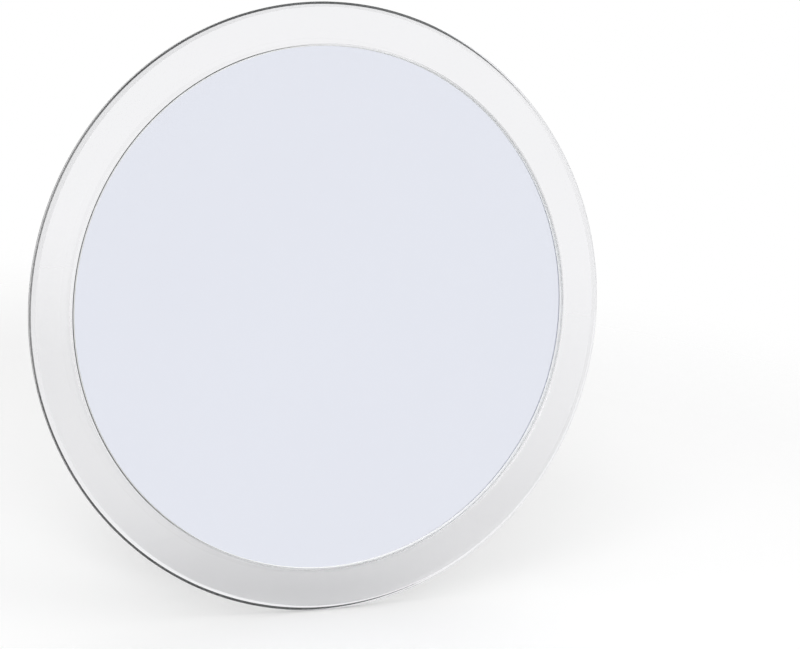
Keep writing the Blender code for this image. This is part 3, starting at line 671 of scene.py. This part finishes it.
# Suction cups: three mouldings of soft clear vinyl, each with a thin skirt, a pull tab at its lip and a
# mushroom head on a neck, which slides along the keyhole in its seat.
CUP_RADIUS = 21.0 * MM
CUP_STAND = 12.0 * MM
CUP_HOLLOW_DEPTH = 6.8 * MM
CUP_LIP_THICKNESS = 0.9 * MM
CUP_LIP_WIDTH = 1.4 * MM
CUP_SHOULDER_RADIUS = 8.4 * MM
CUP_SHOULDER_HEIGHT = 1.0 * MM
CUP_SHOULDER_ROUND = 0.4 * MM
CUP_SKIRT_POWER = 2.2
NECK_RADIUS = 3.2 * MM
NECK_ROUND = 0.2 * MM
HEAD_RADIUS = 6.0 * MM
HEAD_THICKNESS = 2.4 * MM
HEAD_RIM = 0.9 * MM
HEAD_UNDERSIDE = 14.6 * MM
TAB_WIDTH = 8.0 * MM
TAB_REACH = 6.0 * MM
TAB_THICKNESS = 1.2 * MM
TAB_LIFT = 0.3 * MM
TAB_ROUND = 0.3 * MM
CUP_STEPS = 144
SKIRT_RINGS = 28
HOLLOW_RINGS = 24
LIP_RINGS = 8
TAB_STEPS = 20
TAB_ROUND_RINGS = 5

clear_vinyl = finish_of(
    "clear_vinyl", tones=((0.86, 0.89, 0.91), (0.90, 0.92, 0.94)), cloud_scale=70.0, grain_scale=1800.0,
    roughness=(0.06, 0.14), bump=0.01 * MM, IOR=1.53, Transmission_Weight=0.9)
clear_shadow(clear_vinyl, shade=0.88, edge_shade=0.6)


def hollow_height(radius):
    """Height of the cup's hollow over the wall: its depth times one less the squared share of the radius."""
    return CUP_HOLLOW_DEPTH * (1 - (radius / (CUP_RADIUS - CUP_LIP_WIDTH)) ** 2)


def skirt_height(radius):
    """Height of the skirt's outside: the hollow plus a wall that thickens as a power of the way to the
    core."""
    core_wall = CUP_STAND - CUP_SHOULDER_HEIGHT - hollow_height(CUP_SHOULDER_RADIUS)
    share = (CUP_RADIUS - radius) / (CUP_RADIUS - CUP_SHOULDER_RADIUS)
    wall = CUP_LIP_THICKNESS + (core_wall - CUP_LIP_THICKNESS) * share ** CUP_SKIRT_POWER
    return np.maximum(hollow_height(radius), 0) + wall


def tab_ring(inset):
    """The pull tab's outline, drawn in by an inset: a strip out of the lip with a half circle for its end."""
    half = TAB_WIDTH / 2 - inset
    start = CUP_RADIUS - CUP_LIP_WIDTH / 2
    end = around(half, np.linspace(-np.pi / 2, np.pi / 2, TAB_STEPS))
    end_centre = CUP_RADIUS + TAB_REACH - TAB_WIDTH / 2
    return np.concatenate([[(start, half), (start, -half)], end + (end_centre, 0)])


head_corners = [
    (0, HEAD_UNDERSIDE + HEAD_THICKNESS), (HEAD_RADIUS, HEAD_UNDERSIDE + HEAD_THICKNESS),
    (HEAD_RADIUS, HEAD_UNDERSIDE), (NECK_RADIUS, HEAD_UNDERSIDE), (NECK_RADIUS, CUP_STAND),
    (CUP_SHOULDER_RADIUS, CUP_STAND), (CUP_SHOULDER_RADIUS, CUP_STAND - CUP_SHOULDER_HEIGHT)]
head_rounds = [0, HEAD_THICKNESS - HEAD_RIM, HEAD_RIM / 3, NECK_ROUND, NECK_ROUND, CUP_SHOULDER_ROUND, 0]
skirt_radii = np.linspace(CUP_SHOULDER_RADIUS, CUP_RADIUS - CUP_LIP_THICKNESS / 3, SKIRT_RINGS)[1:]
hollow_radii = np.linspace(CUP_RADIUS - CUP_LIP_WIDTH, 0, HOLLOW_RINGS)
lip_round = CUP_LIP_THICKNESS / 2
lip = around(lip_round, np.linspace(np.pi / 3, -np.pi / 2, LIP_RINGS)) + (CUP_RADIUS - lip_round, lip_round)
cup_outline = np.concatenate([
    rounded(head_corners, head_rounds), np.column_stack([skirt_radii, skirt_height(skirt_radii)]), lip,
    np.column_stack([hollow_radii, hollow_height(hollow_radii)])])
tab_turn = np.linspace(0, np.pi / 2, TAB_ROUND_RINGS)
tab_insets = TAB_ROUND * (1 - np.sin(tab_turn))
tab_rises = TAB_ROUND * (1 - np.cos(tab_turn))
tab = lofted([tab_ring(inset) for inset in (*tab_insets, *tab_insets[::-1])],
             [*(TAB_LIFT + tab_rises), *(TAB_LIFT + TAB_THICKNESS - tab_rises[::-1])])
for side, place, angle in zip(("top", "left", "right"), seat_places, CUP_ANGLES):
    cup = piece(f"vinyl_cup_{side}", copies(turned(cup_outline, CUP_STEPS), [place], [angle]), [clear_vinyl])
    worked(cup, [("UNION", copies(tab, [place], [angle]))])
    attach(cup, f"{side}_cup")
    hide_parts(f"suction_cup_{side}")


# Floor: a sheet of white paper under the mirror, which leans back on it. It's a round tilted by the lean, it
# fades into the white world far from the mirror, and it's seen only from above.
LEAN = math.radians(13.0)
FLOOR_REACH = 0.45
FLOOR_RINGS = 24
FLOOR_STEPS = 96
FADE_START = 0.25
FADE_END = 0.42
FLOOR_WHITE = 0.9
FLOOR_GLOW = 0.1

contact = Vector((0, -edge_back, -OUTER_RADIUS))
floor_angle = np.linspace(0, 2 * np.pi, FLOOR_STEPS, endpoint=False)
floor_reach = np.linspace(0, FLOOR_REACH, FLOOR_RINGS)
across = np.outer(floor_reach, np.cos(floor_angle))
backwards = np.outer(floor_reach, np.sin(floor_angle))
floor_points = np.stack([across, contact.y + backwards * math.cos(LEAN),
                         contact.z + backwards * math.sin(LEAN)], axis=-1).reshape(-1, 3)

white_paper = bpy.data.materials.new("white_paper")
white_paper.use_nodes = True
tree = white_paper.node_tree
tree.nodes.clear()
path = node(tree, "ShaderNodeLightPath")
direct = node(tree, "ShaderNodeMath", {0: path.outputs["Is Camera Ray"], 1: path.outputs["Is Glossy Ray"]},
              operation="MAXIMUM")
seen = node(tree, "ShaderNodeMath", {0: direct.outputs["Value"], 1: path.outputs["Is Transmission Ray"]},
            operation="MAXIMUM")
glow_level = node(tree, "ShaderNodeMath", {0: seen.outputs["Value"], 1: FLOOR_GLOW}, operation="MULTIPLY")
glow = node(tree, "ShaderNodeEmission", {"Strength": glow_level.outputs["Value"]})
matt = node(tree, "ShaderNodeBsdfDiffuse", {"Color": (FLOOR_WHITE, FLOOR_WHITE, FLOOR_WHITE, 1)})
paper = node(tree, "ShaderNodeAddShader", {0: matt.outputs["BSDF"], 1: glow.outputs["Emission"]})
nothing = node(tree, "ShaderNodeBsdfTransparent")
where = node(tree, "ShaderNodeTexCoord")
away = node(tree, "ShaderNodeVectorMath", {0: where.outputs["Object"], 1: contact}, operation="DISTANCE")
fade = node(tree, "ShaderNodeMapRange", {"Value": away.outputs["Value"], "From Min": FADE_START,
                                         "From Max": FADE_END}, interpolation_type="SMOOTHSTEP")
underside = node(tree, "ShaderNodeNewGeometry")
gone = node(tree, "ShaderNodeMath", {0: fade.outputs["Result"], 1: underside.outputs["Backfacing"]},
            operation="MAXIMUM")
floor_look = node(tree, "ShaderNodeMixShader", {"Fac": gone.outputs["Value"], 1: paper.outputs["Shader"],
                                                2: nothing.outputs["BSDF"]})
node(tree, "ShaderNodeOutputMaterial", {"Surface": floor_look.outputs["Shader"]})
floor = piece("white_floor", (floor_points, grid_faces(FLOOR_RINGS, FLOOR_STEPS)), [white_paper])
if floor.data.polygons[0].normal.z < 0:
    floor.data.flip_normals()


# Light: a white room that shows as pure white, with less of its light on matt surfaces, and round softboxes
# in a ring about the mirror. Each row gives a softbox's bearing from straight in front and its rise over the
# floor, in degrees, its watts and its width.
ROOM_WHITE = 1.0
ROOM_LIGHT = 0.4
SOFTBOX_DISTANCE = 0.95
SOFTBOXES = (("low_front_softbox", 10, 25, 0.75, 0.45), ("front_softbox", -20, 40, 1.9, 0.45),
             ("left_softbox", -50, 55, 1.4, 0.45), ("right_softbox", 80, 55, 1.5, 0.9),
             ("rear_softbox", 150, 55, 1.6, 0.7), ("top_softbox", -90, 75, 1.05, 0.7))

world = bpy.data.worlds.new("white_studio")
bpy.context.scene.world = world
world.use_nodes = True
world.cycles.sampling_method = "NONE"
tree = world.node_tree
tree.nodes.clear()
path = node(tree, "ShaderNodeLightPath")
level = node(tree, "ShaderNodeMapRange", {"Value": path.outputs["Is Diffuse Ray"], "To Min": ROOM_WHITE,
                                          "To Max": ROOM_LIGHT})
sky = node(tree, "ShaderNodeBackground", {"Color": (1, 1, 1, 1), "Strength": level.outputs["Result"]})
node(tree, "ShaderNodeOutputWorld", {"Surface": sky.outputs["Background"]})

floor_up = Vector((0, -math.sin(LEAN), math.cos(LEAN)))
floor_back = Vector((0, math.cos(LEAN), math.sin(LEAN)))
for name, bearing_degrees, rise_degrees, watts, width in SOFTBOXES:
    bearing, rise = math.radians(bearing_degrees), math.radians(rise_degrees)
    outwards = Vector((1, 0, 0)) * math.sin(bearing) - floor_back * math.cos(bearing)
    towards_light = outwards * math.cos(rise) + floor_up * math.sin(rise)
    softbox_data = bpy.data.lights.new(name, "AREA")
    softbox_data.shape = "DISK"
    softbox_data.size = width
    softbox_data.energy = watts
    softbox = bpy.data.objects.new(name, softbox_data)
    softbox.visible_glossy = name == "front_softbox"
    softbox.visible_transmission = False
    softbox.location = contact + towards_light * SOFTBOX_DISTANCE
    softbox.rotation_euler = towards_light.to_track_quat("Z", "Y").to_euler()
    bpy.context.scene.collection.objects.link(softbox)


# Camera: to the mirror's left and a little above it, at a portrait lens's distance. Its aim puts the middle
# of the bezel's edge on the pixel that it has in the photograph.
CAMERA_AZIMUTH = math.radians(-21.75)
CAMERA_ELEVATION = math.radians(5.42)
CAMERA_DISTANCE = 1.0
CAMERA_CLIP_START = 0.05
FOCAL_PIXELS = 3005.0
PICTURE_WIDTH = 800
PICTURE_HEIGHT = 649
MIDDLE_X = 324.0
MIDDLE_Y = 308.1
SENSOR_WIDTH = 36.0
RING_HEIGHT = 24.25 * MM

camera_data = bpy.data.cameras.new("studio_camera")
camera_data.sensor_width = SENSOR_WIDTH
camera_data.lens = FOCAL_PIXELS * SENSOR_WIDTH / PICTURE_WIDTH
camera_data.clip_start = CAMERA_CLIP_START
camera = bpy.data.objects.new("studio_camera", camera_data)
towards = Vector((math.sin(CAMERA_AZIMUTH) * math.cos(CAMERA_ELEVATION),
                  -math.cos(CAMERA_AZIMUTH) * math.cos(CAMERA_ELEVATION), math.sin(CAMERA_ELEVATION)))
rightwards = Vector((0, 0, 1)).cross(towards).normalized()
upwards = towards.cross(rightwards)
ring_middle = Vector((0, -RING_HEIGHT, 0))
metres_per_pixel = CAMERA_DISTANCE / FOCAL_PIXELS
aim = (ring_middle + rightwards * (PICTURE_WIDTH / 2 - MIDDLE_X) * metres_per_pixel
       - upwards * (PICTURE_HEIGHT / 2 - MIDDLE_Y) * metres_per_pixel)
camera.location = ring_middle + towards * CAMERA_DISTANCE
camera.rotation_euler = (camera.location - aim).to_track_quat("Z", "Y").to_euler()
bpy.context.scene.collection.objects.link(camera)
bpy.context.scene.camera = camera
bpy.context.scene.view_settings.view_transform = "Standard"
